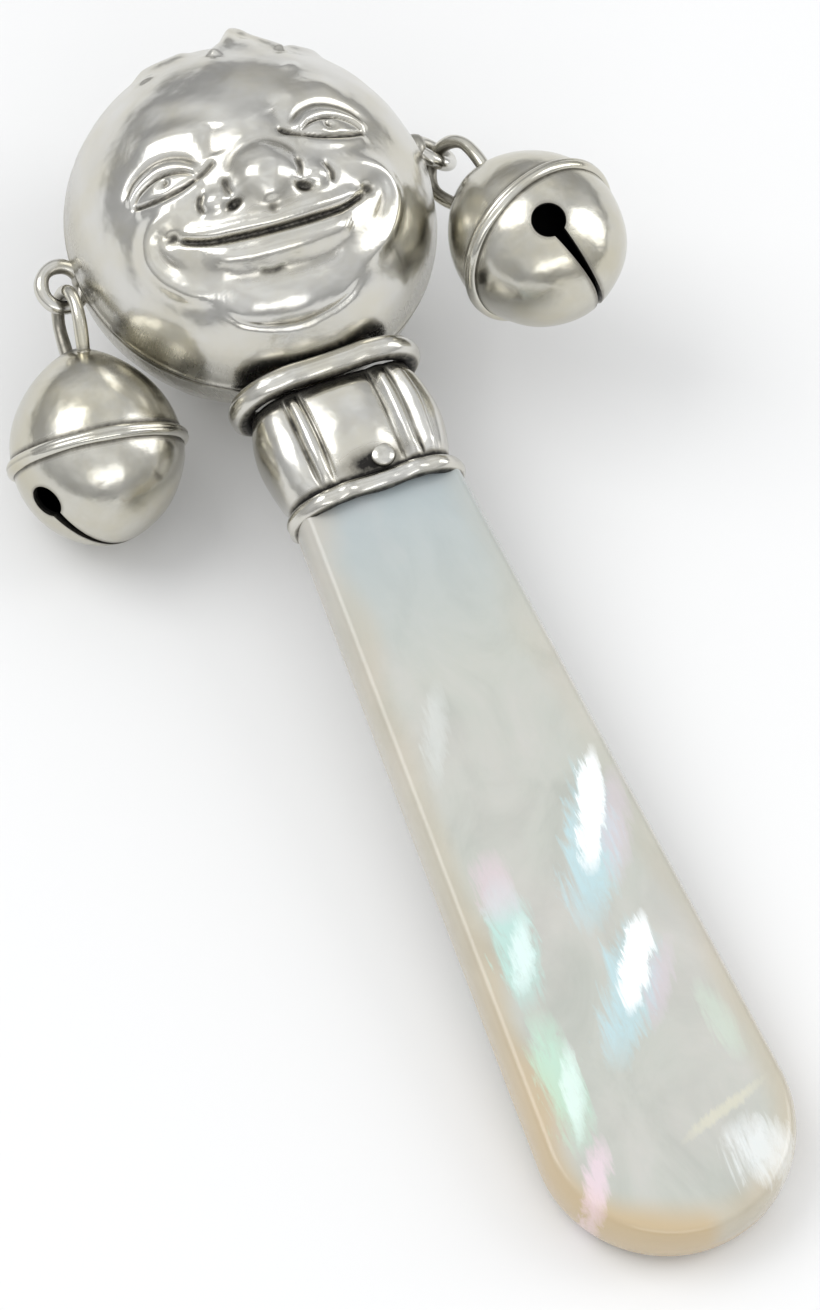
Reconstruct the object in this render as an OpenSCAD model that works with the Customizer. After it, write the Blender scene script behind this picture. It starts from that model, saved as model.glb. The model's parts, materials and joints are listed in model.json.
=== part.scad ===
// Baby rattle: a hollow silver ball head, two jingle bells on wire rings at its
// sides, a barrelled collar, and a flat mother-of-pearl handle. The head's face
// and the collar's reeds are surface relief and aren't modelled here.
//
// It is designed standing up: +Z towards the top of the head, -Y towards the
// viewer's side of the face, and the origin at the middle of the head. The last
// transform, lie_down(), lays it on its back with the face up and the origin on
// the table under the middle of the whole part.

/* [Head] */
// Radius of the seam where the two stamped half shells meet
head_r = 13.9; // [12.5:0.1:15]
// Depth of the front half shell, without the nose
face_depth = 12.0; // [11:0.1:13]
// Depth of the back half shell
back_depth = 11.6; // [11.2:0.1:12]
// Thickness of the stamped silver
shell_t = 0.55; // [0.4:0.05:0.8]

/* [Collar] */
// Height of the collar between the middles of its two bead rings
collar_h = 10.0; // [9:0.1:11]
// Half the width of the collar's walls at its ends
collar_half_w = 6.4; // [6.3:0.05:6.6]
// Half the depth of the collar's walls at its ends
collar_half_d = 3.1; // [3:0.05:3.3]
// How far the barrel swells out between the bead rings
barrel_swell = 0.75; // [0.3:0.05:0.9]
// Thickness of the collar's walls
collar_t = 0.6; // [0.5:0.05:0.7]

/* [Handle] */
// Length of the handle from the collar's mouth to its round end
handle_len = 62.6; // [50:0.1:75]
// Half the width of the handle at the collar's mouth
handle_half_w = 6.5; // [6.2:0.05:6.6]
// Radius of the handle's round end, seen from the front
handle_end_r = 9.5; // [8.5:0.1:11]
// Thickness of the handle
handle_t = 4.8; // [4.4:0.1:5]

/* [Bells] */
// Radius of a bell's two half shells
bell_r = 6.45; // [6:0.05:6.6]
// Thickness of the bell's sheet
bell_t = 0.5; // [0.4:0.05:0.6]
// Height of the upper half shell, from the rib to its crown
bell_crown = 8.1; // [7.8:0.05:8.3]
// Depth of the lower half shell, from the rib to its pole
bell_depth = 6.9; // [6.5:0.05:7]
// Radius of the round hole at each end of the sound slot
keyhole_r = 1.3; // [1:0.05:1.4]
// Width of the sound slot
slot_w = 0.7; // [0.5:0.05:1]
// Radius of the loose pellet
pellet_r = 1.8; // [1.6:0.05:2]

/* [Rings and loops] */
// Middle radius of the wire ring on each side of the head
ring_r = 1.6; // [1.55:0.01:1.7]
// Radius of the ring's wire
ring_wire = 0.55; // [0.45:0.01:0.56]
// Middle radius of the loop on top of a bell
loop_r = 2.2; // [2:0.05:2.3]
// Radius of the loop's wire
loop_wire = 0.5; // [0.4:0.01:0.5]

/* [Hidden] */
$fn = 96;
eps = 0.02;               // gap that keeps two touching pieces apart

silver = [0.78, 0.77, 0.74];
dark_silver = [0.62, 0.61, 0.58];
pearl = [0.86, 0.87, 0.82];
steel = [0.45, 0.45, 0.46];
cement = [0.55, 0.47, 0.38];

// Face: only its nose and hair matter here
nose_r = 2.7;
nose_out = 1.1;           // how far the nose stands out of the dome
nose_z = -2.0;
tuft_r = 1.6;
tuft_gap = 3.2;
tuft_out = 0.57;          // share of the face's depth
tuft_up = 0.75;           // share of the head's radius

// Collar: two bead rings with the barrel between them
neck_wire = 0.97;         // radius of the upper bead
mouth_wire = 0.75;        // radius of the lower bead
neck_z = -14.4;
mouth_z = neck_z - collar_h;
straight = collar_half_w - collar_half_d;   // half the length of the oval's flat side
neck_d = collar_half_d + 0.3;               // middle of the upper bead
mouth_d = collar_half_d - 0.02;             // middle of the lower bead
wall_top = neck_z - neck_wire - eps;
wall_bottom = mouth_z + mouth_wire + eps;

// Handle: straight sides that spread from the mouth and run into the round end
edge_inset = 1.4;
round_z = mouth_z - handle_len + handle_end_r;
side_h = mouth_z - round_z;
flare = asin(handle_end_r / norm([handle_half_w, side_h])) - atan2(handle_half_w, side_h);
tang_half_w = 4.4;
tang_t = 3.2;
tang_top = neck_z - 2;
tang_root = 1;            // how far the tang reaches into the blade
face_top = mouth_z - mouth_wire - 0.1;      // the flat faces end clear of the lower bead

// Rivet through the collar, the filler and the tang
rivet_x = 0.9;
rivet_z = mouth_z + 1.75;
rivet_r = 0.6;
rivet_head_r = 0.95;
rivet_half_len = collar_half_d + 0.35;
rivet_head_sink = 0.35;   // how far the middle of a head's ball is inside the shank's end
rivet_seat = 0.2;         // how far a head's flat underside is inside the shank's end

// Bells: where the head ring's middle is, then the angles that the bell hangs at
// [ring middle, swing outwards, swing backwards, turn of loop and ring, turn of slot]
LEFT = [[-15.15, 0.3, 0.1], -8.5, 14, 100, 205];
RIGHT = [[15.3, 0.6, 1.3], 15, -21, -50, 254];
arm = 12.9;               // ring's middle to the bell's middle
loop_gap = 0.15;          // play between the loop and the ring
apex_z = loop_wire + loop_gap + ring_wire - ring_r;
keyhole_angle = 58;       // from the bell's pole
keyhole_floor = 4.5;      // how near to the bell's middle the round holes are cut
slot_half = bell_r * sin(keyhole_angle);
slot_top = bell_r * cos(keyhole_angle);
cut = 1;                  // how far a cutting solid reaches past what it cuts
crown_power = 1.35;       // above 1 gives a half shell straighter flanks
base_power = 1.1;
rib_wire = 0.5;           // radius of the bead round the middle of a bell
leg_foot = 0.84;          // where the loop's legs end, as a share of the crown's height
pellet_gap = 0.25;
pellet_drop = bell_r - bell_t - pellet_r - pellet_gap;
leg_len = arm + apex_z - loop_r - leg_foot * bell_crown;

// Lying down: back of the head and end of the handle on the table
lie_tilt = 6.2;
lie_x = -0.716;
lie_y = 36.363;
lie_z = 11.631;

// The middle of a bell, as hang() places it
function middle_of(b) =
    b[0] + arm * [sin(b[1]), cos(b[1]) * sin(b[2]), -cos(b[1]) * cos(b[2])];

// ---------- shared shapes ----------

// A dome r wide and h tall on the XY plane
module dome(r, h, power = 1, steps = 24)
    rotate_extrude()
        polygon(concat([[0, 0]],
            [for (i = [0:steps]) [r * pow(cos(90 * i / steps), power), h * sin(90 * i / steps)]]));

module shell_dome(r, h, t, power = 1)
    difference() {
        dome(r, h, power);
        translate([0, 0, -eps])
            dome(r - t, h - t + eps, power);
    }

// The outside of the whole head as one solid, grown by g
module head_form(g = 0) {
    rotate([90, 0, 0])
        dome(head_r + g, face_depth + g);
    rotate([-90, 0, 0])
        dome(head_r + g, back_depth + g);
}

// Carries a 2-D outline around a long oval: its x axis points outwards from the middle of the
// oval's round ends, and its y axis becomes Z
module around_oval() {
    for (s = [-1, 1])
        translate([s * straight, 0, 0])
            rotate([0, 0, -90 * s])
                rotate_extrude(angle = 180)
                    children();
    for (side = [0, 1])
        mirror([0, side, 0])
            rotate([90, 0, 90])
                translate([0, 0, -straight])
                    linear_extrude(2 * straight)
                        children();
}

// A wire ring around X, r to the middle of its wire
module wire_ring(r, wire, angle = 360)
    rotate([0, 90, 0])
        rotate_extrude(angle = angle)
            translate([r, 0])
                circle(wire, $fn = 32);

module rivet_form(g = 0)
    translate([rivet_x, 0, rivet_z])
        rotate([90, 0, 0])
            union() {
                cylinder(r = rivet_r + g, h = 2 * rivet_half_len, center = true);
                for (s = [-1, 1])
                    intersection() {
                        translate([0, 0, s * (rivet_half_len - rivet_head_sink)])
                            sphere(rivet_head_r + g, $fn = 48);
                        translate([0, 0, s * (rivet_half_len + rivet_head_r - rivet_seat - g)])
                            linear_extrude(2 * rivet_head_r, center = true)
                                square(2 * (rivet_head_r + g), center = true);
                    }
            }

module tang_form(g = 0)
    translate([-tang_half_w - g, -tang_t / 2 - g, mouth_z - tang_root])
        cube([2 * (tang_half_w + g), tang_t + 2 * g, tang_top - mouth_z + tang_root + g]);

// Places a bell's pieces: the head ring's middle is the origin and the bell hangs along -Z
module hang(b)
    lie_down()
        translate(b[0])
            rotate([b[2], 0, 0])
                rotate([0, -b[1], 0])
                    children();

module bell_middle()
    translate([0, 0, -arm])
        children();

// The outside of a whole bell as one solid, grown by g
module bell_form(g = 0) {
    dome(bell_r + g, bell_crown + g, crown_power);
    mirror([0, 0, 1])
        dome(bell_r + g, bell_depth + g, base_power);
}

module lie_down()
    translate([lie_x, lie_y, lie_z])
        rotate([lie_tilt - 90, 0, 0])
            children();

// ---------- head ----------

module head_front_shell()
    color(silver) lie_down() {
        rotate([90, 0, 0])
            shell_dome(head_r, face_depth, shell_t);
        // nose, kept to the outside of the shell
        intersection() {
            translate([0, nose_r - face_depth - nose_out, nose_z])
                sphere(nose_r);
            translate([-nose_r, -face_depth - nose_r, nose_z - nose_r])
                cube([2 * nose_r, nose_r + shell_t, 2 * nose_r]);
        }
        // tufts of hair above the forehead
        for (x = [-tuft_gap, 0, tuft_gap])
            translate([x, -tuft_out * face_depth, tuft_up * head_r])
                sphere(tuft_r, $fn = 48);
    }

module head_back_shell()
    color(silver) lie_down()
        translate([0, eps, 0])
            rotate([-90, 0, 0])
                shell_dome(head_r, back_depth - eps, shell_t);

module head_ring(b)
    color(silver)
        difference() {
            hang(b)
                rotate([0, 0, b[3]])
                    wire_ring(ring_r, ring_wire);
            lie_down()
                head_form(eps);
        }

module left_head_ring() head_ring(LEFT);
module right_head_ring() head_ring(RIGHT);

// ---------- collar ----------

module neck_bead()
    color(silver) lie_down()
        difference() {
            translate([0, 0, neck_z])
                around_oval()
                    translate([neck_d, 0])
                        circle(neck_wire, $fn = 32);
            head_form(eps);
        }

module collar_body(steps = 16)
    color(dark_silver) lie_down()
        difference() {
            around_oval()
                polygon(concat(
                    [for (i = [0:steps]) [collar_half_d + barrel_swell * sin(180 * i / steps),
                                          wall_bottom + (wall_top - wall_bottom) * i / steps]],
                    [for (i = [steps:-1:0]) [collar_half_d - collar_t + barrel_swell * sin(180 * i / steps),
                                             wall_bottom + (wall_top - wall_bottom) * i / steps]]));
            rivet_form(eps);
        }

module mouth_bead_form(g = 0)
    translate([0, 0, mouth_z])
        around_oval()
            translate([mouth_d, 0])
                circle(mouth_wire + g, $fn = 32);

module mouth_bead()
    color(silver) lie_down()
        mouth_bead_form();

module socket_filler()
    color(cement) lie_down()
        difference() {
            translate([0, 0, wall_bottom])
                linear_extrude(wall_top - wall_bottom)
                    for (s = [-1, 1]) {
                        translate([s * straight, 0])
                            circle(collar_half_d - collar_t - eps);
                        square([2 * straight, 2 * (collar_half_d - collar_t - eps)], center = true);
                    }
            tang_form(eps);
            rivet_form(eps);
        }

// ---------- handle ----------

// The blade's outline seen from the front, drawn inset from the widest one
module blade_outline(inset, top, steps = 40) {
    r = handle_end_r - inset;
    polygon(concat(
        [[-handle_half_w + inset, top], [handle_half_w - inset, top]],
        [for (i = [0:steps])
            let (a = flare - (180 + 2 * flare) * i / steps)
            [r * cos(a), round_z + r * sin(a)]]));
}

// Flat front and back faces with a slanted edge all the way round
module blade()
    rotate([90, 0, 0])
        hull() {
            linear_extrude(handle_t, center = true)
                blade_outline(edge_inset, face_top);
            linear_extrude(handle_t - 2 * edge_inset, center = true)
                blade_outline(0, mouth_z);
        }

module handle()
    color(pearl) lie_down()
        difference() {
            union() {
                blade();
                tang_form();
            }
            mouth_bead_form(eps);
            rivet_form(eps);
        }

module handle_rivet()
    color(silver) lie_down()
        rivet_form();

// ---------- bells ----------

module bell_upper_shell(b)
    color(silver) hang(b) bell_middle()
        translate([0, 0, eps])
            shell_dome(bell_r, bell_crown, bell_t, crown_power);

module bell_lower_shell(b)
    color(silver) hang(b) bell_middle()
        rotate([0, 0, b[4]])
            difference() {
                mirror([0, 0, 1])
                    shell_dome(bell_r, bell_depth, bell_t, base_power);
                for (s = [-1, 1])
                    rotate([0, -s * keyhole_angle, 0])
                        translate([0, 0, -bell_depth - cut])
                            cylinder(r = keyhole_r, h = bell_depth - keyhole_floor + cut);
                translate([-slot_half, -slot_w / 2, -bell_depth - cut])
                    cube([2 * slot_half, slot_w, bell_depth - slot_top + cut]);
            }

module bell_rib(b)
    color(silver) hang(b) bell_middle()
        difference() {
            rotate_extrude()
                translate([bell_r, 0])
                    circle(rib_wire, $fn = 32);
            bell_form(eps);
        }

module bell_loop(b)
    color(silver) hang(b)
        difference() {
            rotate([0, 0, b[3]])
                translate([0, 0, apex_z - loop_r]) {
                    rotate([90, 0, 0])
                        rotate_extrude(angle = 180)
                            translate([loop_r, 0])
                                circle(loop_wire, $fn = 32);
                    for (s = [-1, 1])
                        translate([s * loop_r, 0, -leg_len])
                            cylinder(r = loop_wire, h = leg_len, $fn = 32);
                }
            bell_middle()
                bell_form(eps);
        }

// The pellet lies at the lowest point inside its bell when the rattle is lying down
module bell_pellet(b)
    color(steel) lie_down()
        translate(middle_of(b) + pellet_drop * [0, cos(lie_tilt), -sin(lie_tilt)])
            sphere(pellet_r, $fn = 64);

module left_bell_upper_shell() bell_upper_shell(LEFT);
module left_bell_lower_shell() bell_lower_shell(LEFT);
module left_bell_rib() bell_rib(LEFT);
module left_bell_loop() bell_loop(LEFT);
module left_bell_pellet() bell_pellet(LEFT);
module right_bell_upper_shell() bell_upper_shell(RIGHT);
module right_bell_lower_shell() bell_lower_shell(RIGHT);
module right_bell_rib() bell_rib(RIGHT);
module right_bell_loop() bell_loop(RIGHT);
module right_bell_pellet() bell_pellet(RIGHT);

head_front_shell();
head_back_shell();
neck_bead();
collar_body();
mouth_bead();
handle();
handle_rivet();
socket_filler();
left_head_ring();
right_head_ring();
left_bell_upper_shell();
left_bell_lower_shell();
left_bell_rib();
left_bell_loop();
left_bell_pellet();
right_bell_upper_shell();
right_bell_lower_shell();
right_bell_rib();
right_bell_loop();
right_bell_pellet();
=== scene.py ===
"""The looks of a silver baby rattle with a mother-of-pearl handle.

Shapes are worked out in millimetres in the rattle's standing frame: +Z towards the top of the
head, -Y the way the face looks, the origin in the middle of the head. LIE lays that frame on its
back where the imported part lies, and turns millimetres into metres.
"""
import json
import math

import bmesh
import bpy
import numpy as np
from mathutils import Matrix, Vector

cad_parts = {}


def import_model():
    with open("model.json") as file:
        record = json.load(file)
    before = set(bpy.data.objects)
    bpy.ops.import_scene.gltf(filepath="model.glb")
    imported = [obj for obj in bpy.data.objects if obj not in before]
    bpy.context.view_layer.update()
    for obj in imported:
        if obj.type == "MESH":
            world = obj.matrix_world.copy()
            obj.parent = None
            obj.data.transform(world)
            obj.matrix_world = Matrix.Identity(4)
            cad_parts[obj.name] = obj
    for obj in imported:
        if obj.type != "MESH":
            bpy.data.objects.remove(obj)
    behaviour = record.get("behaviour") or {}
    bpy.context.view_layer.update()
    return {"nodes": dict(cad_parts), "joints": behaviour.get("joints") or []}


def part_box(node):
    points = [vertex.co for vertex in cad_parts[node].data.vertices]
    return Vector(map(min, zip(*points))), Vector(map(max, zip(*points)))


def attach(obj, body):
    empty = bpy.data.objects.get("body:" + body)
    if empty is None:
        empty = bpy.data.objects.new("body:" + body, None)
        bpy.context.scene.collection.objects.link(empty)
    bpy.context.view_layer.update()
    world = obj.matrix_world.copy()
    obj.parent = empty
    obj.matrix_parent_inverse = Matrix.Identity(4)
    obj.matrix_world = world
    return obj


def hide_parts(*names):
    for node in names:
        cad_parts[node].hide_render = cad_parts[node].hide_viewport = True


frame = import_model()

# ---------------------------------------------------------------- sizes, in mm

MM = 0.001
TILT = 6.2                      # degrees that the handle points down at the table
HEAD_MIDDLE = Vector((-0.716, 36.363, 11.631)) * MM
LIE = (Matrix.Translation(HEAD_MIDDLE) @ Matrix.Rotation(math.radians(TILT - 90), 4, "X")
       @ Matrix.Scale(MM, 4))

HEAD_R, FACE_DEPTH, BACK_DEPTH, SHELL_T = 13.9, 12.0, 11.6, 0.55
FACE_CELLS, QUICK_CELLS = 170, 90        # mesh cells from the middle of the face to the seam
FACE_ROLL = math.radians(4.5)   # the stamped face sits a little askew on the head
FACE_X = -0.6

# the collar's outline keeps a distance, half its thickness, from a straight line across the rattle
OVAL_STRAIGHT = 3.3                      # half that line's length
COLLAR_D, COLLAR_TOP, COLLAR_BOTTOM, COLLAR_T = 3.1, -15.39, -23.63, 0.6
COLLAR_BARREL, COLLAR_INSET = 0.75, 0.22
NECK_Z, NECK_D, NECK_WIRE, NECK_WAVE = -14.4, 3.4, 0.97, 0.10
MOUTH_Z, MOUTH_D, MOUTH_WIRE, MOUTH_WAVE = -24.4, 3.08, 0.75, 0.22
RIVET_X, RIVET_Z, RIVET_SHANK_R, RIVET_R, RIVET_HALF, RIVET_DOME = 0.9, -22.65, 0.6, 0.95, 3.55, 0.42

HANDLE_HALF_W, HANDLE_END_R, HANDLE_T, HANDLE_LONG = 6.5, 9.5, 4.8, 62.6
HANDLE_TIP = MOUTH_Z - HANDLE_LONG
HANDLE_ROUND_Z = HANDLE_TIP + HANDLE_END_R          # the middle of the round end
# the angle at which each straight side leans outwards, so that it runs into the round end
FLARE = (math.asin(HANDLE_END_R / math.hypot(HANDLE_HALF_W, HANDLE_LONG - HANDLE_END_R))
         - math.atan2(HANDLE_HALF_W, HANDLE_LONG - HANDLE_END_R))

BELL_R, BELL_CROWN, BELL_DEPTH, BELL_T, RIB_WIRE = 6.45, 8.1, 6.9, 0.5, 0.50
CROWN_POWER, BASE_POWER = 1.35, 1.1      # 1 is an ellipse, more is pointed
KEYHOLE_R, KEYHOLE_ANGLE, KEYHOLE_FLOOR = 1.3, math.radians(58), 4.5
RING_R, RING_WIRE, LOOP_R, LOOP_WIRE = 1.6, 0.55, 2.2, 0.5
APEX_DROP = RING_R - RING_WIRE - 0.15 - LOOP_WIRE    # the loop's top lies this far below the ring's middle
SLOT_HALF, SLOT_FLARE = 0.19, 0.33
SLOT_TURN = {"left": math.radians(105), "right": math.radians(304)}


# ---------------------------------------------------------------- mesh helpers

def smoothstep(a, b, x):
    """0 before a, 1 after b, and smooth between; a may be the larger one."""
    t = np.clip((x - a) / (b - a), 0, 1)
    return t * t * (3 - 2 * t)


def wobble(p, scale, seed):
    """Smooth noise from a few sine waves, about -1 to 1, for hand-made unevenness."""
    rng = np.random.default_rng(seed)
    total = np.zeros(p.shape[:-1])
    for _ in range(7):
        direction = rng.normal(size=3)
        direction *= (0.6 + 0.8 * rng.random()) / np.linalg.norm(direction) / scale
        total += np.sin(p @ direction * 2 * np.pi + rng.random() * 2 * np.pi)
    return total / 3.5


def make_mesh(name, points, faces, to_row, tarnish_and_shade=None):
    """A smooth-shaded mesh piece; points are in mm and to_row takes them to the row frame."""
    points = np.asarray(points, float).reshape(-1, 3)
    m = np.array(to_row)
    placed = points @ m[:3, :3].T + m[:3, 3]
    mesh = bpy.data.meshes.new(name)
    mesh.from_pydata(placed.tolist(), [], faces)
    mesh.update()
    mesh.shade_smooth()
    put_attribute(mesh, "tarnish_and_shade", np.zeros(len(points)) if tarnish_and_shade is None else tarnish_and_shade)
    piece = bpy.data.objects.new(name, mesh)
    bpy.context.scene.collection.objects.link(piece)
    return piece


def grid_faces(rows, columns, wrap_rows=False, wrap_columns=False, start=0, flip=False):
    """Four-sided faces over rows x columns points, closed into a loop where it wraps."""
    r = np.arange(rows if wrap_rows else rows - 1)
    c = np.arange(columns if wrap_columns else columns - 1)
    r, c = np.meshgrid(r, c, indexing="ij")
    r2, c2 = (r + 1) % rows, (c + 1) % columns
    quad = np.stack([r * columns + c, r * columns + c2, r2 * columns + c2, r2 * columns + c], -1)
    quad = quad.reshape(-1, 4) + start
    return (quad[:, ::-1] if flip else quad).tolist()


def end_caps(rows, columns):
    """The two faces that close a tube of rows x columns points."""
    return [list(range(columns)), list(range((rows - 1) * columns, rows * columns))[::-1]]


def face_outwards(piece):
    """Merges doubled points and turns every face outwards."""
    bm = bmesh.new()
    bm.from_mesh(piece.data)
    bmesh.ops.remove_doubles(bm, verts=bm.verts, dist=1e-7)
    bmesh.ops.recalc_face_normals(bm, faces=bm.faces)
    bm.to_mesh(piece.data)
    bm.free()
    return piece


def put_attribute(mesh, name, values):
    """Stores a number from 0 to 1 at each point, for the material to read."""
    layer = mesh.attributes.get(name) or mesh.attributes.new(name, "FLOAT", "POINT")
    layer.data.foreach_set("value", np.clip(values, 0, 1).astype(np.float32).ravel())


def put_material(piece, material):
    piece.data.materials.clear()
    piece.data.materials.append(material)


def finish_piece(piece, body, node, material):
    """Rides a piece on its body, in place of a CAD node, with its material."""
    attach(piece, body)
    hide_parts(node)
    put_material(piece, material)


def silver_piece(name, body, node, points, faces, to_row, tarnish_and_shade, material):
    """A closed silver mesh in place of a CAD node."""
    piece = face_outwards(make_mesh(name, points, faces, to_row, tarnish_and_shade))
    finish_piece(piece, body, node, material)


# ---------------------------------------------------------------- materials

class Nodes:
    """Short calls for building the node tree of a material or a world."""

    def __init__(self, owner, shader="Principled BSDF"):
        self.owner = owner
        owner.use_nodes = True
        self.tree = owner.node_tree
        self.shader = self.tree.nodes[shader]

    def add(self, kind, **values):
        made = self.tree.nodes.new(kind)
        for key, value in values.items():
            if key in made.inputs:
                made.inputs[key].default_value = value
            else:
                setattr(made, key, value)
        return made

    def link(self, source, target):
        self.tree.links.new(source, target)

    def position(self, scale=(1, 1, 1), rotation=(0, 0, 0)):
        """The place on the object in millimetres, stretched by scale."""
        coords = self.add("ShaderNodeTexCoord")
        mapping = self.add("ShaderNodeMapping")
        mapping.inputs["Scale"].default_value = [v / MM for v in scale]
        mapping.inputs["Rotation"].default_value = rotation
        self.link(coords.outputs["Object"], mapping.inputs["Vector"])
        return mapping.outputs["Vector"]

    def noise(self, vector, scale, detail=4.0, rough=0.55, distortion=0.0):
        made = self.add("ShaderNodeTexNoise", Scale=scale, Detail=detail, Roughness=rough,
                        Distortion=distortion)
        self.link(vector, made.inputs["Vector"])
        return made.outputs["Fac"]

    def ramp(self, factor, stops):
        made = self.add("ShaderNodeValToRGB")
        elements = made.color_ramp.elements
        while len(elements) < len(stops):
            elements.new(0.5)
        for element, (place, color) in zip(elements, stops):
            element.position = place
            element.color = (*color, 1) if isinstance(color, tuple) else (color, color, color, 1)
        self.link(factor, made.inputs["Fac"])
        return made.outputs["Color"]

    def mix(self, factor, a, b, mode="MIX"):
        made = self.add("ShaderNodeMix", data_type="RGBA", blend_type=mode)
        for source, key in ((factor, 0), (a, 6), (b, 7)):
            if isinstance(source, (int, float)):
                made.inputs[key].default_value = source
            elif isinstance(source, tuple):
                made.inputs[key].default_value = (*source, 1)
            else:
                self.link(source, made.inputs[key])
        return made.outputs[2]

    def math(self, operation, a, b=0.0, clamp=False):
        made = self.add("ShaderNodeMath", operation=operation, use_clamp=clamp)
        for key, source in ((0, a), (1, b)):
            if isinstance(source, (int, float)):
                made.inputs[key].default_value = source
            else:
                self.link(source, made.inputs[key])
        return made.outputs[0]

    def bump(self, height, strength, distance_mm):
        made = self.add("ShaderNodeBump", Strength=strength, Distance=distance_mm * MM)
        self.link(height, made.inputs["Height"])
        self.link(made.outputs["Normal"], self.shader.inputs["Normal"])

    def set(self, **values):
        """Sets the shader's own sockets, with _ for a space in a name."""
        for key, value in values.items():
            self.shader.inputs[key.replace("_", " ")].default_value = value


def silver_material(name, base, warmth=0.0, roughness=0.20):
    """Old polished silver: bright on what is rubbed, nearly black in the grooves; each point's stored
    number darkens it, as real tarnish together with painted shade in grooves, recesses and where parts
    meet.
    """
    n = Nodes(bpy.data.materials.new(name))
    place = n.position()
    tarnish_and_shade = n.add("ShaderNodeAttribute", attribute_name="tarnish_and_shade").outputs["Fac"]
    patchy = n.noise(place, 0.22, 5, 0.6)
    fine = n.noise(place, 2.2, 6, 0.65)
    film = n.ramp(patchy, [(0.40, 0.0), (0.66, 0.45 + warmth)])
    # the stored number per point holds real tarnish together with painted shade in grooves, recesses and
    # where parts meet
    dirt_and_shade = n.math("MULTIPLY", tarnish_and_shade, n.math("ADD", n.math("MULTIPLY", fine, 0.9), 0.62), clamp=True)
    yellowed = tuple(v * k for v, k in zip(base, (0.93, 0.88, 0.72)))
    bright = n.mix(film, base, yellowed)
    darkened = n.mix(n.ramp(dirt_and_shade, [(0.08, 0.0), (0.50, 1.0)]), bright, (0.30, 0.285, 0.245))
    color = n.mix(n.ramp(dirt_and_shade, [(0.48, 0.0), (0.86, 1.0)]), darkened, (0.035, 0.033, 0.031))
    n.link(color, n.shader.inputs["Base Color"])
    n.set(Metallic=1.0)
    scratches = n.noise(n.position(scale=(0.5, 6, 0.5), rotation=(0.3, 0.5, 0.7)), 1.6, 5, 0.7)
    rough = n.math("ADD", n.math("MULTIPLY", scratches, 0.10), roughness - 0.05)
    rough = n.math("ADD", rough, n.math("MULTIPLY", dirt_and_shade, 0.38), clamp=True)
    n.link(rough, n.shader.inputs["Roughness"])
    waves = n.math("MULTIPLY", n.noise(place, 0.20, 3, 0.5), 3.0)
    ripple = n.math("ADD", waves, n.math("MULTIPLY", fine, 0.12))
    n.bump(n.math("ADD", ripple, n.math("MULTIPLY", scratches, 0.05)), 0.5, 0.14)
    return n.owner


BLUE, LILAC, WHITE = (0.50, 0.76, 0.84), (0.74, 0.62, 0.74), (0.98, 1.0, 1.0)

# the pearl's painted sheen, white painted highlights and coloured painted reflections: colour, (x, z, half
# width, half length, lean in degrees), strength, and for some how sharply they begin
PEARL_PAINTED_SHEEN = [
    (BLUE, (3.1, -56.3, 2.4, 8.0, 22), 0.60),
    (LILAC, (5.6, -55.5, 1.3, 5.5, 22), 0.35),
    (WHITE, (4.3, -53.8, 1.25, 5.6, 24), 1.0, (0.2, 0.5)),
    (BLUE, (1.2, -67.8, 2.4, 7.0, 32), 0.60),
    (LILAC, (3.6, -68.0, 1.1, 4.5, 30), 0.35),
    (WHITE, (2.6, -66.0, 1.25, 4.6, 30), 1.0, (0.2, 0.5)),
    ((0.50, 0.82, 0.76), (-5.0, -61.5, 2.0, 6.0, 10), 0.62),
    ((0.76, 0.60, 0.68), (-4.6, -57.0, 1.9, 3.4, 5), 0.50),
    ((0.86, 0.98, 0.96), (-4.8, -62.5, 1.0, 3.6, 20), 0.60),
    ((0.52, 0.84, 0.66), (-6.2, -72.5, 2.0, 6.5, 6), 0.58),
    ((0.84, 0.98, 0.94), (-5.6, -73.5, 0.9, 4.6, 16), 0.60),
    ((0.90, 0.70, 0.80), (-6.8, -80.5, 1.2, 4.2, 28), 0.62),
    ((0.93, 0.97, 0.98), (5.2, -82.3, 3.0, 3.4, -20), 0.55),
    ((0.76, 0.73, 0.55), (3.9, -78.6, 0.6, 4.6, 72), 0.45),
    ((0.78, 0.83, 0.82), (-4.0, -44.5, 1.1, 5.0, 24), 0.30),
    ((0.62, 0.74, 0.62), (6.4, -72.0, 1.2, 4.0, -6), 0.45),
]


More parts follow.
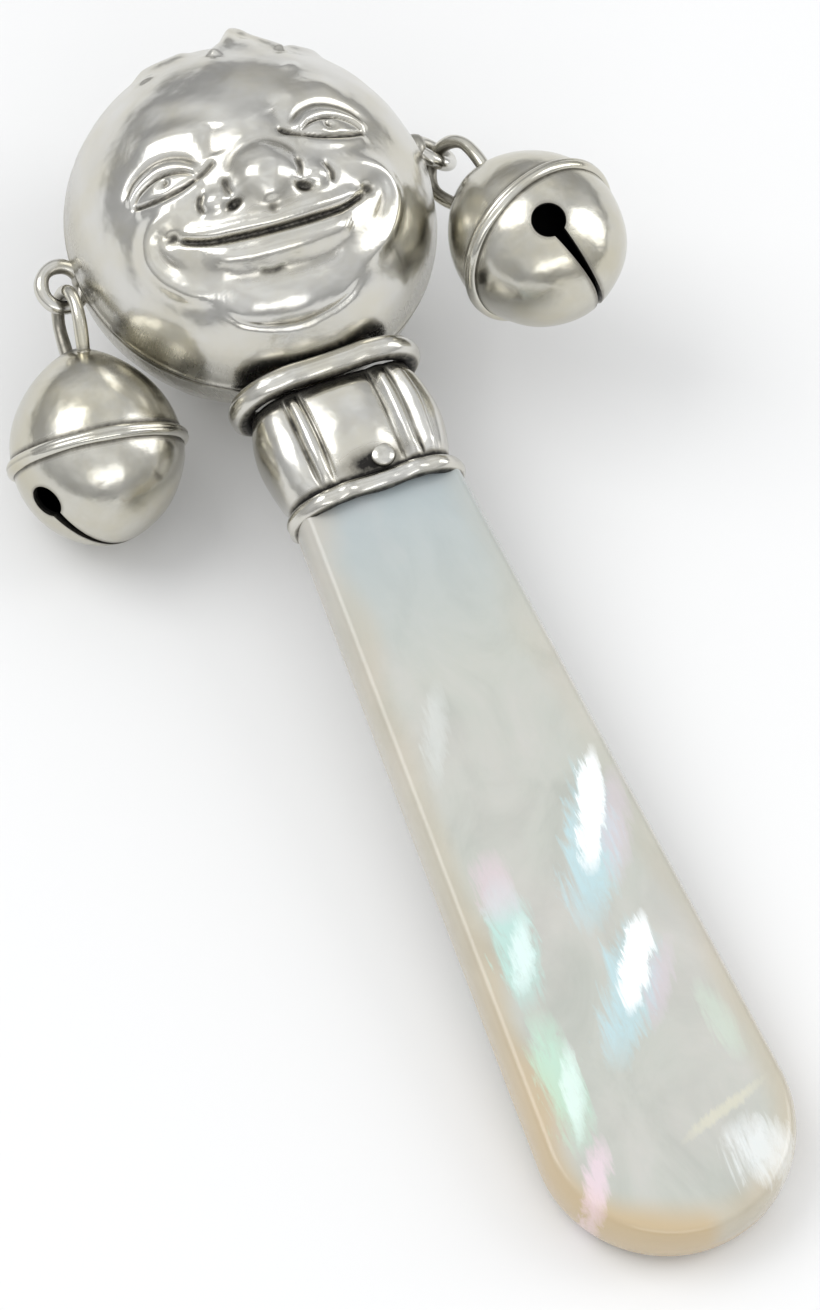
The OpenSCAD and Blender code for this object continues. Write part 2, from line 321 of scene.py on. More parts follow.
def pearl_material(name):
    """Mother-of-pearl: a pale grey body, cream edges, and painted sheen: streaks of painted highlight and
    reflection in white, cyan and pink.
    """
    n = Nodes(bpy.data.materials.new(name))
    standing = LIE.inverted()
    coords = n.add("ShaderNodeTexCoord").outputs["Object"]
    x_axis, y_axis, z_axis = [Vector(standing.to_3x3().row[i]) for i in range(3)]
    offset = standing.translation

    def along(axis, shift):
        dot = n.add("ShaderNodeVectorMath", operation="DOT_PRODUCT")
        n.link(coords, dot.inputs[0])
        dot.inputs[1].default_value = axis
        return n.math("ADD", dot.outputs["Value"], shift)

    x, y, z = along(x_axis, offset[0]), along(y_axis, offset[1]), along(z_axis, offset[2])
    standing_place = n.add("ShaderNodeCombineXYZ")
    for key, value in zip("XYZ", (x, y, z)):
        n.link(value, standing_place.inputs[key])
    place = standing_place.outputs["Vector"]

    def stretched(scale, rotation=0.0):
        mapping = n.add("ShaderNodeMapping")
        mapping.inputs["Scale"].default_value = scale
        mapping.inputs["Rotation"].default_value = (0, rotation, 0)
        n.link(place, mapping.inputs["Vector"])
        return mapping.outputs["Vector"]

    # growth layers run slantwise across the slab
    layers = n.noise(stretched((0.16, 0.2, 0.10), math.radians(-38)), 1.0, 6, 0.6, 0.9)
    feather = n.noise(stretched((1.5, 0.6, 0.22), math.radians(-24)), 1.0, 6, 0.7, 0.8)
    cloud = n.noise(stretched((0.10, 0.1, 0.07)), 1.0, 4, 0.55)
    fleck = n.noise(stretched((2.6, 1.0, 1.1), math.radians(-50)), 1.0, 6, 0.75, 0.6)

    body = n.ramp(layers, [(0.25, (0.43, 0.445, 0.405)), (0.55, (0.52, 0.535, 0.487)),
                           (0.8, (0.575, 0.57, 0.533))])
    top = n.ramp(n.math("DIVIDE", n.math("ADD", z, 40.0), 16.0), [(0.0, 0.0), (1.0, 1.0)])
    body = n.mix(n.math("MULTIPLY", top, 0.75), body, (0.40, 0.475, 0.515))
    body = n.mix(n.ramp(cloud, [(0.45, 0.0), (0.75, 0.45)]), body, (0.66, 0.60, 0.58))
    edge = n.add("ShaderNodeAttribute", attribute_name="edge").outputs["Fac"]
    body = n.mix(edge, body, (0.56, 0.44, 0.275))

    def paint_sheen(color, where, amount, sharp=(0.35, 0.75)):
        """Adds a feathery patch of painted sheen: where is (x, z, half width, half length, lean in
        degrees).
        """
        nonlocal body
        px, pz, half_w, half_l, lean = where
        c, s = math.cos(math.radians(lean)), math.sin(math.radians(lean))
        dx, dz = n.math("SUBTRACT", x, px), n.math("SUBTRACT", z, pz)
        across = n.math("SUBTRACT", n.math("MULTIPLY", dx, c), n.math("MULTIPLY", dz, s))
        length = n.math("ADD", n.math("MULTIPLY", dx, s), n.math("MULTIPLY", dz, c))
        across = n.math("ADD", across, n.math("MULTIPLY", n.math("SUBTRACT", feather, 0.5), half_w * 2.2))
        u = n.math("POWER", n.math("ABSOLUTE", n.math("DIVIDE", across, half_w)), 2.0)
        v = n.math("POWER", n.math("ABSOLUTE", n.math("DIVIDE", length, half_l)), 2.0)
        near = n.math("SUBTRACT", 1.0, n.math("ADD", u, v), clamp=True)
        ragged = n.math("ADD", n.math("MULTIPLY", feather, 0.8), n.math("MULTIPLY", fleck, 0.9))
        mask = n.ramp(n.math("MULTIPLY", near, ragged), [(sharp[0] * 0.3, 0.0), (sharp[1], amount)])
        body = n.mix(mask, body, color)

    for patch in PEARL_PAINTED_SHEEN:
        paint_sheen(*patch)

    n.link(body, n.shader.inputs["Base Color"])
    n.set(Roughness=0.24, Coat_Weight=0.45, Coat_Roughness=0.08, Subsurface_Weight=0.12,
          Subsurface_Radius=(0.0012, 0.0010, 0.0008))
    n.bump(n.math("ADD", layers, n.math("MULTIPLY", fleck, 0.25)), 0.35, 0.10)
    return n.owner


def plain_material(name, color, roughness, metallic, grain):
    """A mottled colour, for the pellets and the cement."""
    n = Nodes(bpy.data.materials.new(name))
    fleck = n.noise(n.position(), grain, 5, 0.6)
    dark = tuple(v * 0.6 for v in color)
    n.link(n.ramp(fleck, [(0.35, dark), (0.65, color)]), n.shader.inputs["Base Color"])
    n.set(Metallic=metallic, Roughness=roughness)
    n.bump(fleck, 0.4, 0.1)
    return n.owner


# ---------------------------------------------------------------- the head

def dome_grid(half_cells):
    """A square grid laid over the unit disc, so that no vertex crowds the middle."""
    line = np.linspace(-1, 1, 2 * half_cells + 1)
    u, v = np.meshgrid(line, line, indexing="ij")
    x, y = u * np.sqrt(1 - v * v / 2), v * np.sqrt(1 - u * u / 2)
    return x, y


def dome_points(x, y, depth, side):
    """Disc to half ellipsoid; equal steps on the disc are equal angles on the dome."""
    reach = np.hypot(x, y)
    angle = np.clip(reach, 0, 1) * math.pi / 2
    out = np.sin(angle) / np.maximum(reach, 1e-9)
    points = np.stack([x * out * HEAD_R, side * depth * np.cos(angle), y * out * HEAD_R], -1)
    normal = points / np.array([HEAD_R**2, depth**2, HEAD_R**2])
    return points, normal / np.linalg.norm(normal, axis=-1, keepdims=True)


def lump(x, z, cx, cz, rx, rz, height, turn, power):
    """A rounded bump, or hollow if height is negative; a high power gives it a flat top."""
    c, s = math.cos(math.radians(turn)), math.sin(math.radians(turn))
    a = ((x - cx) * c + (z - cz) * s) / rx
    b = (-(x - cx) * s + (z - cz) * c) / rz
    return height * np.exp(-(np.abs(a)**2 + np.abs(b)**2)**(power / 2))


def smooth_line(points, count=90):
    """Catmull-Rom points through the given ones."""
    p = np.array(points, float)
    p = np.vstack([2 * p[0] - p[1], p, 2 * p[-1] - p[-2]])
    t = np.linspace(0, len(p) - 3 - 1e-9, count)
    i = t.astype(int)
    f = (t - i)[:, None]
    a, b, c, d = p[i], p[i + 1], p[i + 2], p[i + 3]
    square, cube = 2 * a - 5 * b + 4 * c - d, 3 * b - a - 3 * c + d
    return 0.5 * (2 * b + (c - a) * f + square * f**2 + cube * f**3)


def stroke(x, z, points, width, height, ends):
    """A rounded ridge, or groove if height is negative, drawn along a line and fading at both ends."""
    line = smooth_line(points)
    along = np.linspace(0, 1, len(line))
    fade = smoothstep(0, ends, along) * smoothstep(0, ends, 1 - along) if ends else np.ones(len(line))
    best = np.full(x.shape, 1e9)
    faded = np.zeros(x.shape)
    for (px, pz), w in zip(line, fade):
        gap = (x - px)**2 + (z - pz)**2
        nearer = gap < best
        best = np.where(nearer, gap, best)
        faded = np.where(nearer, w, faded)
    return height * faded * np.exp(-best / width**2)


# Lumps are (x, z, half width, half height, height, turn in degrees, power), and strokes are
# (points, half width, height, share of the length over which each end fades), all in mm over the
# dome's surface. A height below zero is a hollow or a groove.

EYE_LUMPS = {                    # around the eye's own middle, x outwards from the nose
    "socket": (0, 0.1, 3.6, 1.9, -0.30, 0, 2),
    "eyeball": (0, 0, 2.2, 0.85, 0.42, 0, 2.6),
    "iris": (-0.2, 0.05, 0.62, 0.62, -0.10, 0, 6),
    "pupil": (-0.25, 0.12, 0.28, 0.28, -0.26, 0, 3),
}
EYE_STROKES = {
    "upper lid": ([(-2.9, -0.4), (-1.8, 0.85), (0, 1.35), (1.9, 0.85), (3.1, -0.4)], 0.36, 0.22, 0.10),
    "crease": ([(-3.3, 0.3), (-1.9, 1.65), (0, 2.15), (2.1, 1.65), (3.5, 0.3)], 0.27, -0.17, 0.15),
    "under the lid": ([(-2.7, -0.35), (-1.6, 0.45), (0, 0.8), (1.7, 0.45), (2.8, -0.35)], 0.16, -0.30, 0.1),
    "over the lower lid": ([(-2.8, -0.4), (-1.3, -0.8), (0.3, -0.9), (1.7, -0.75), (2.9, -0.4)],
                           0.19, -0.30, 0.1),
    "lower lid": ([(-3.0, -0.9), (-1.2, -1.45), (0.6, -1.5), (2.8, -1.0)], 0.42, 0.20, 0.12),
    "inner corner": ([(-2.4, -0.4), (-3.2, -0.2), (-4.3, 0.5)], 0.24, -0.24, 0.2),
}
EYE_MIDDLES = {1: (6.2, 1.0), -1: (7.0, -0.1)}
BROW = [(2.4, 1.9), (4.2, 3.2), (6.6, 3.6), (9.2, 2.9)]       # z counted from the eye's middle

SIDE_LUMPS = {                   # on both sides of the face
    "cheek": (8.4, -2.6, 3.0, 2.2, 0.42, -25, 2),
    "nose wing": (3.7, -2.75, 0.95, 0.85, 0.55, 0, 2.4),
    "nostril": (2.6, -3.35, 0.62, 0.34, -0.55, -15, 2),
    "corner of the mouth": (7.6, -4.15, 0.60, 0.42, -0.40, -20, 2),
}
SIDE_STROKES = {
    "outside the wing": ([(4.3, -1.6), (4.95, -2.7), (4.6, -3.5)], 0.28, -0.28, 0.3),
    "inside the wing": ([(2.6, -1.0), (2.7, -2.1), (2.45, -3.0)], 0.30, -0.24, 0.3),
    "smile fold": ([(4.6, -2.2), (6.6, -2.2), (8.8, -2.9), (9.9, -4.7), (9.2, -6.9), (7.0, -8.8),
                    (4.4, -9.8)], 0.80, 0.38, 0.25),
    "inside the fold": ([(7.6, -3.1), (8.8, -4.1), (8.5, -5.6), (6.9, -7.4)], 0.38, -0.14, 0.3),
    "beside the bridge": ([(2.0, 3.2), (2.6, 1.8), (2.7, 0.5)], 0.7, -0.16, 0.15),
}
MIDDLE_LUMPS = {
    "nose ball": (0.2, -1.9, 1.95, 1.75, 1.25, 0, 3),
    "under the nose": (0, -3.6, 0.7, 0.45, 0.18, 0, 2),
    "chin": (-0.2, -11.3, 4.4, 1.7, 0.46, 0, 2.6),
}
MIDDLE_STROKES = {
    "bridge": ([(0, 4.2), (0, 2.0), (0, 0.2), (0, -1.0)], 1.4, 0.22, 0.3),
    "over the nose ball": ([(-2.3, -1.6), (-1.7, -0.1), (0.2, 0.7), (2.1, -0.1), (2.7, -1.6)],
                           0.40, -0.13, 0.2),
    "upper lip": ([(-7.0, -4.1), (-5.0, -4.6), (-2.5, -4.9), (0, -5.1), (2.5, -4.9), (5.0, -4.6),
                   (7.0, -4.1)], 0.50, 0.32, 0.12),
    "lower lip": ([(-6.3, -5.7), (-4.3, -6.6), (-2.2, -7.0), (0, -7.1), (2.2, -7.0), (4.3, -6.6),
                   (6.3, -5.7)], 0.90, 0.52, 0.18),
    "mouth": ([(-7.7, -4.3), (-5.3, -5.3), (-2.9, -5.7), (0, -5.85), (2.9, -5.7), (5.3, -5.3),
               (7.7, -4.3)], 0.24, -0.48, 0.08),
    "under the lip": ([(-5.0, -8.0), (-2.9, -8.8), (0, -9.1), (2.9, -8.8), (5.0, -8.0)], 0.70, -0.14, 0.2),
    "crease under the lip": ([(-2.4, -8.3), (-1.2, -8.7), (0.2, -8.5)], 0.24, -0.16, 0.3),
    "groove of the upper lip": ([(0, -3.9), (0, -4.5)], 0.40, -0.12, 0.0),
    "under the chin": ([(-6.0, -10.2), (-4.0, -12.2), (0, -13.2), (4.0, -12.2), (6.0, -10.2)],
                       0.36, -0.18, 0.25),
}
HAIR_LUMPS = {
    "body of the lick": (4.4, 13.2, 1.5, 2.2, 0.50, 0, 3),
    "tip of the lick": (4.6, 15.2, 1.3, 1.5, 0.50, 0, 3),
    "small curl, right": (5.9, 6.9, 0.85, 0.50, 0.20, 25, 3),
    "small curl, left": (-4.6, 12.2, 0.9, 0.55, 0.18, -20, 3),
}
HAIR_STROKES = {
    "left of the lick": ([(0.9, 10.6), (2.2, 12.0), (3.6, 13.6), (4.6, 15.6)], 0.62, 0.45, 0.12),
    "right of the lick": ([(6.9, 9.6), (6.4, 11.6), (5.7, 13.6), (4.9, 15.6)], 0.62, 0.45, 0.12),
    "left tuft": ([(0.6, 14.2), (-1.4, 13.5), (-3.4, 14.1), (-5.2, 15.9)], 0.85, 0.34, 0.25),
    "right tuft": ([(7.6, 12.2), (9.0, 11.2), (10.6, 11.4), (11.8, 12.6)], 0.80, 0.34, 0.25),
}


def relief(x, z, lumps, strokes):
    """The height that named lumps and strokes add up to."""
    return (sum(lump(x, z, *values) for values in lumps.values())
            + sum(stroke(x, z, *values) for values in strokes.values()))


def face_relief(px, pz):
    """Heights of the laughing face over the dome, in mm; px and pz run over the dome's surface."""
    roll_c, roll_s = math.cos(FACE_ROLL), math.sin(FACE_ROLL)
    x = (px - FACE_X) * roll_c - pz * roll_s
    z = (px - FACE_X) * roll_s + pz * roll_c
    heights = relief(x, z, MIDDLE_LUMPS, MIDDLE_STROKES)
    for side, (eye_x, eye_z) in EYE_MIDDLES.items():
        heights = heights + relief(side * x, z, SIDE_LUMPS, SIDE_STROKES)
        heights += relief(side * x - eye_x, z - eye_z, EYE_LUMPS, EYE_STROKES)
        heights += stroke(side * x, z - eye_z, BROW, 1.2, 0.30, 0.3)
    return heights


def front_relief(px, pz):
    """The face, with a pointed lick of hair at its top and a few flat curls beside it."""
    return face_relief(px, pz) + relief(px - FACE_X, pz, HAIR_LUMPS, HAIR_STROKES)


def no_relief(px, pz):
    return 0 * px


def blurred(values, times):
    """Averages each point with its neighbours, over and over."""
    v = values.copy()
    for _ in range(times):
        p = np.pad(v, 1, mode="edge")
        v = (p[:-2, 1:-1] + p[2:, 1:-1] + p[1:-1, :-2] + p[1:-1, 2:] + 2 * p[1:-1, 1:-1]) / 6
    return v


def half_head(name, node, depth, side, shape, half_cells, material):
    """One stamped half shell: side is -1 at the front, and shape gives its relief."""
    x, y = dome_grid(half_cells)
    points, normal = dome_points(x, y, depth, side)
    reach = np.hypot(x, y)
    surface = math.pi / 2 * (HEAD_R + depth) / 2
    heights = shape(x * surface, y * surface) * (1 - smoothstep(0.94, 0.995, reach))
    dents = 0.07 * wobble(points, 8.0, 11) + 0.035 * wobble(points, 3.5, 12)
    dents *= 1 - smoothstep(0.9, 1.0, reach)
    lip = 0.08 * np.exp(-((reach - 0.985) / 0.012)**2)
    outer = points + normal * (heights + dents + lip)[..., None]
    inner = points - normal * SHELL_T * (1 - smoothstep(0.97, 1.0, reach) * 0.3)[..., None]
    size = 2 * half_cells + 1
    cell = surface / half_cells                     # mm between neighbouring points
    wide, narrow = round((1.6 / cell)**2 * 3), round((0.45 / cell)**2 * 3)
    cavity = blurred(heights, wide) - heights
    tight = blurred(heights, narrow) - heights
    # Painted shade: the hollows of the relief are darkened, as tarnish together with painted shade, the
    # seam is a dark joint, and the flanks are painted darker towards the rim as painted shade.
    seam = 0.60 * smoothstep(0.985, 1.0, reach)
    dark = 0.74 * smoothstep(0.05, 0.55, cavity * 0.6 + tight * 1.4)
    flank = 0.20 * smoothstep(0.62, 0.95, reach)
    dark = np.maximum(np.maximum(dark, seam), flank + 0.10 * smoothstep(0.0, 0.12, cavity))
    border = np.concatenate([np.arange(size), np.arange(1, size) * size + size - 1,
                             (size - 1) * size + np.arange(size - 2, -1, -1),
                             np.arange(size - 2, 0, -1) * size])
    count = size * size
    faces = grid_faces(size, size) + grid_faces(size, size, start=count, flip=True)
    following = np.roll(border, -1)
    faces += np.stack([border, following, following + count, border + count], -1).tolist()
    shade = np.concatenate([dark.ravel(), np.ones(count)])
    silver_piece(name, "rattle", node, np.stack([outer, inner]), faces, LIE, shade, material)


# ---------------------------------------------------------------- collar and handle

def oval_path(distance, count):
    """The outline of the collar at a distance from its straight middle line, as (x, y, nx, ny)."""
    straight, turn = 2 * OVAL_STRAIGHT, math.pi * distance
    rows = []
    for s in np.arange(count) / count * 2 * (straight + turn):
        back = s >= straight + turn
        sign = -1 if back else 1                # the back half is the front half turned round
        s = s - straight - turn if back else s
        if s < straight:
            row = (OVAL_STRAIGHT - s, -distance, 0, -1)
        else:
            a = -math.pi / 2 - (s - straight) / distance
            c, d = math.cos(a), math.sin(a)
            row = (-OVAL_STRAIGHT + distance * c, distance * d, c, d)
        rows.append([sign * v for v in row])
    return np.array(rows)


def bead_ring(name, node, z, distance, wire, wave, material):
    """A rounded wire bead around the collar, a little uneven and pressed flat where wave says."""
    count, around = 260, 28
    path = oval_path(distance, count)
    turn = np.arange(around) / around * 2 * math.pi
    ring = np.arange(count) / count * 2 * math.pi
    swell = 1 - wave * 0.5 + wave * np.sin(ring * 13 + 1.1 * np.sin(ring * 5)) * 0.5
    drift = wave * 0.35 * np.sin(ring * 7 + 0.6) * wire
    out = (np.cos(turn)[None, :] * wire) * swell[:, None]
    up = np.sin(turn)[None, :] * wire * (1 - 0.3 * wave) + drift[:, None]
    points = np.stack([path[:, 0, None] + path[:, 2, None] * out,
                       path[:, 1, None] + path[:, 3, None] * out, z + up], -1)
    # painted shade on the side of the bead that faces the collar, and on its top and bottom where it meets
    # the parts beside it
    inward = smoothstep(0.25, -0.35, np.cos(turn))
    above_below = 0.75 * smoothstep(0.72, 1.0, np.abs(np.sin(turn)))
    dark = np.tile(np.maximum(inward, above_below), (count, 1))
    faces = grid_faces(count, around, True, True)
    silver_piece(name, "rattle", node, points, faces, LIE, dark, material)


LOBES = [(-6.6, -4.25, 0.38), (-2.9, 2.45, 0.62), (5.3, 6.6, 0.20)]     # from x, to x, how far it bulges
REEDS = [-3.6, 3.35, 4.75]                                              # narrow ridges between the lobes
GROOVES = [-4.2, -2.98, 2.58, 4.05]                                     # thin dark lines beside them


def fluting(x):
    """How far the collar's wall stands out at lateral place x, and how dark it is painted along the thin
    grooves, as tarnish together with painted shade.
    """
    out = np.zeros(x.shape)
    for low, high, bulge in LOBES:
        place = np.clip((x - low) / (high - low) * 2 - 1, -1, 1)
        out += bulge * (1 - place**2)**0.8
    for reed in REEDS:
        out += 0.42 * np.exp(-(np.abs(x - reed) / 0.42)**2.4)
    dark = np.zeros(x.shape)
    for groove in GROOVES:
        near = np.exp(-((x - groove) / 0.17)**2)
        out -= 0.14 * near
        dark = np.maximum(dark, near)
    return out, dark


def collar(name, node, material):
    """The fluted, slightly barrelled sleeve between the head and the handle."""
    rows, count = 96, 420
    path = oval_path(COLLAR_D, count)
    t = np.linspace(0, 1, rows)
    z = COLLAR_TOP + (COLLAR_BOTTOM - COLLAR_TOP) * t
    barrel = COLLAR_BARREL * np.sin(t * math.pi)
    flutes, grooves = fluting(path[:, 0])
    fade = smoothstep(0.0, 0.16, t) * smoothstep(0.0, 0.16, 1 - t)
    swell = barrel[:, None] + flutes[None, :] * (0.25 + 0.75 * fade)[:, None]
    row_of_ones = np.ones((rows, 1))
    places = np.stack([path[:, 0] * row_of_ones, path[:, 1] * row_of_ones,
                       z[:, None] * np.ones(count)], -1)
    outward = np.stack([path[:, 2] * row_of_ones, path[:, 3] * row_of_ones, 0 * swell], -1)
    swell = swell + 0.06 * wobble(places, 4.5, 21) - COLLAR_INSET
    outer = places + outward * swell[..., None]
    inner = places - outward * COLLAR_T
    dark = grooves[None, :] * (0.55 + 0.30 * wobble(places, 2.5, 22))
    # painted shade at the top and bottom ends, where the beads sit against the collar
    dark = np.maximum(dark, 0.85 * smoothstep(0.08, 0.0, t)[:, None] + 0 * dark)
    dark = np.maximum(dark, 0.95 * smoothstep(0.09, 0.0, 1 - t)[:, None] + 0 * dark)
    # a painted shadow of the rivet, on the front below and to the left of it
    left_of_rivet, below_rivet = RIVET_X - 0.7, RIVET_Z - 0.25
    rivet_shadow = np.exp(-(((places[..., 0] - left_of_rivet) / 2.4)**2
                          + ((z[:, None] - below_rivet) / 0.9)**2))
    dark = np.maximum(dark, 0.95 * rivet_shadow * (places[..., 1] < 0))
    points = np.stack([outer, inner[::-1]])
    shade = np.concatenate([dark.ravel(), np.ones(dark.size)])
    faces = grid_faces(2 * rows, count, True, True)
    silver_piece(name, "rattle", node, points, faces, LIE, shade, material)


def revolve(profile, around):
    """Points of (radius, height) profile turned about z, rows along the profile."""
    turn = np.arange(around) / around * 2 * math.pi
    profile = np.asarray(profile, float)
    return np.stack([profile[:, 0, None] * np.cos(turn), profile[:, 0, None] * np.sin(turn),
                     profile[:, 1, None] + 0 * turn], -1)


def rivet(name, node, material):
    """A short pin with a domed head on both faces of the collar."""
    around = 40
    bow = np.linspace(0, math.pi / 2, 12)
    cap = [(RIVET_R * math.sin(a), RIVET_HALF + RIVET_DOME * math.cos(a)) for a in bow]
    side = [(RIVET_R, RIVET_HALF - 0.15), (RIVET_R * 0.9, RIVET_HALF - 0.30),
            (RIVET_SHANK_R, RIVET_HALF - 0.34)]
    profile = [(0.001, RIVET_HALF + RIVET_DOME)] + cap[1:] + side
    profile += [(r, -h) for r, h in profile[::-1]]
    points = revolve(profile, around)
    # painted shade round the edge of each domed head, where it meets the collar
    dark = smoothstep(0.75, 0.98, np.hypot(points[..., 0], points[..., 1])) * 0.7
    rows = len(profile)
    faces = grid_faces(rows, around, wrap_columns=True) + end_caps(rows, around)
    place = LIE @ Matrix.Translation((RIVET_X, 0, RIVET_Z)) @ Matrix.Rotation(math.pi / 2, 4, "X")
    silver_piece(name, "rattle", node, points, faces, place, dark, material)


def handle_half_width(z):
    """Half the handle's width at height z: straight sides that run into the round end."""
    side = HANDLE_HALF_W + (MOUTH_Z - z) * math.tan(FLARE)
    round_part = np.sqrt(np.maximum(HANDLE_END_R**2 - (z - HANDLE_ROUND_Z)**2, 0))
    return np.where(z > HANDLE_ROUND_Z + HANDLE_END_R * math.sin(FLARE), side, round_part)


def handle_inside(x, z):
    """Distance in from the handle's outline."""
    from_side = (HANDLE_HALF_W + (MOUTH_Z - z) * math.tan(FLARE) - np.abs(x)) * math.cos(FLARE)
    from_round = HANDLE_END_R - np.hypot(x, z - HANDLE_ROUND_Z)
    beside_round = z - HANDLE_ROUND_Z < np.abs(x) * math.tan(FLARE)
    return np.maximum(np.where(beside_round, from_round, from_side), 0)


def handle_height(inside):
    """Half thickness at a distance inside the outline: a rounded edge, then an almost flat face."""
    edge_width, face_fall, squareness = 1.0, 0.14, 2.2
    into = np.clip(inside / edge_width, 0, 1)
    full = 0.5 * HANDLE_T - face_fall
    rounded = full * (1 - (1 - into)**squareness)**(1 / squareness)
    return rounded + face_fall * smoothstep(0.6, 6.5, inside)


def handle(name, node, material):
    """The pearl blade: each row across it is a closed loop over the front and round the back."""
    lateral = np.sin(np.linspace(-math.pi / 2, math.pi / 2, 81))
    top_z = MOUTH_Z + 0.2
    straight = np.linspace(top_z, HANDLE_ROUND_Z + HANDLE_END_R * math.sin(FLARE), 120)
    bow = np.sin(np.linspace(-FLARE, math.pi / 2 - 0.03, 90))[1:]
    heights = np.concatenate([straight, HANDLE_ROUND_Z - HANDLE_END_R * bow])
    z = heights[:, None] + 0 * lateral
    x = handle_half_width(z) * lateral
    inside = handle_inside(x, z)
    half_t = handle_height(inside)
    half_t[:, 0] = half_t[:, -1] = 0
    places = np.stack([x, 0 * x, z * 0.6], -1)
    wave = (0.035 * wobble(places, 8.0, 31) - 0.035) * smoothstep(0.8, 3.0, inside)
    front = np.stack([x, -(half_t + wave), z], -1)
    back = np.stack([x, half_t + wave, z], -1)
    loop = np.concatenate([front, back[:, -2:0:-1]], axis=1)
    depth = np.concatenate([inside, inside[:, -2:0:-1]], axis=1)
    rows, columns = loop.shape[:2]
    faces = grid_faces(rows, columns, wrap_columns=True)
    half_columns = columns // 2
    for row in (0, rows - 1):
        start = row * columns
        over = list(range(start, start + half_columns + 1))
        under = [start] + list(range(start + columns - 1, start + half_columns - 1, -1))
        for i in range(half_columns):
            faces.append(list(dict.fromkeys([over[i], over[i + 1], under[i + 1], under[i]])))
    uneven = wobble(np.stack([loop[..., 0], 0 * depth, loop[..., 2]], -1), 7.0, 33)
    near_edge = 1 - smoothstep(0.5, 2.8, depth + 0.7 * uneven)
    low = 0.30 + 0.70 * smoothstep(-50, -84, loop[..., 2])
    left = 0.45 + 0.55 * smoothstep(1.0, -1.0, loop[..., 0])
    gold = near_edge * low * left + 0.30 * (loop[..., 1] > 0) * low
    piece = make_mesh(name, loop, faces, LIE)
    put_attribute(piece.data, "edge", gold)
    finish_piece(face_outwards(piece), "rattle", node, material)


# ---------------------------------------------------------------- rings, loops and bells

def bell_hinge(side):
    """The middle of the head ring that a bell hangs from, and the axis of its hinge."""
    hinge = next(j for j in frame["joints"] if j["name"] == side + "_bell_swing")
    return Vector(hinge["pos_m"]), Vector(hinge["axis"]).normalized()


def bell_frame(side):
    """Where a bell hangs: a matrix with z up to its head ring and x along its hinge.

    It takes mm to row metres, from the middle of the bell's rib. Also returns how far up the
    ring's middle is, in mm."""
    ring, axis = bell_hinge(side)
    low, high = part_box(side + "_bell_rib")
    middle = (low + high) / 2
    up = (ring - middle).normalized()
    across = (axis - up * axis.dot(up)).normalized()
    depth = up.cross(across)
    turn = Matrix((across, depth, up)).transposed().to_4x4()
    return Matrix.Translation(middle) @ turn @ Matrix.Scale(MM, 4), (ring - middle).length / MM


def wire_loop(middle_r, wire, around, thick, seed):
    """A torus about x, very slightly uneven, as rows of points in mm."""
    a = np.arange(around) / around * 2 * math.pi
    b = np.arange(thick) / thick * 2 * math.pi
    rng = np.random.default_rng(seed)
    uneven = 1 + 0.04 * np.sin(3 * a + rng.random() * 6) + 0.03 * np.sin(5 * a + rng.random() * 6)
    out = middle_r + wire * np.cos(b)[None, :] * uneven[:, None]
    return np.stack([wire * np.sin(b)[None, :] * uneven[:, None] * np.ones_like(out),
                     out * np.cos(a)[:, None], out * np.sin(a)[:, None]], -1)


SOLDER_SHADE = 0.35              # how tarnished the solder is


def solder_blob(center, radii, seed, rows=20, around=28):
    """A lumpy closed ball for a soldered joint."""
    lat = np.linspace(0, math.pi, rows)
    lon = np.arange(around) / around * 2 * math.pi
    ball = np.stack([np.sin(lat)[:, None] * np.cos(lon), np.sin(lat)[:, None] * np.sin(lon),
                     np.cos(lat)[:, None] + 0 * lon], -1)
    ball = ball * (1 + 0.07 * wobble(ball, 1.3, seed))[..., None]
    points = ball * np.array(radii) + np.array(center)
    points[0], points[-1] = points[0].mean(0), points[-1].mean(0)
    return points, grid_faces(rows, around, wrap_columns=True)


def joined(parts):
    """Joins (points, faces, shade) parts into one set."""
    points, faces, shades, start = [], [], [], 0
    for part_points, part_faces, shade in parts:
        flat = np.asarray(part_points, float).reshape(-1, 3)
        points.append(flat)
        faces += [[i + start for i in f] for f in part_faces]
        shades.append(np.ravel(shade) if np.ndim(shade) else np.full(len(flat), float(shade)))
        start += len(flat)
    return np.vstack(points), faces, np.concatenate(shades)


def head_ring(side, material):
    """The wire ring on the side of the head, with the foot and solder that hold it there."""
    around, thick = 72, 20
    ring, axis = bell_hinge(side)
    inward = HEAD_MIDDLE - ring
    inward = (inward - axis * inward.dot(axis)).normalized()
    third = inward.cross(axis)
    turn = Matrix((axis, third, inward)).transposed().to_4x4()
    place = Matrix.Translation(ring) @ turn @ Matrix.Scale(MM, 4)
    loop = wire_loop(RING_R, RING_WIRE, around, thick, 3 if side == "left" else 4)
    # painted shade on the inner side of the wire, facing the ring's hole
    rim = np.hypot(loop[..., 1], loop[..., 2])
    inner_shade = 0.45 * smoothstep(RING_R - 0.1, RING_R - RING_WIRE, rim)
    foot = solder_blob((0, 0, RING_R + 0.15), (1.0, 1.25, 0.75), 5)
    points, faces, shade = joined([(loop, grid_faces(around, thick, True, True), inner_shade),
                                   (*foot, SOLDER_SHADE)])
    silver_piece(side + "_silver_ring", "rattle", side + "_head_ring", points, faces, place, shade,
                 material)


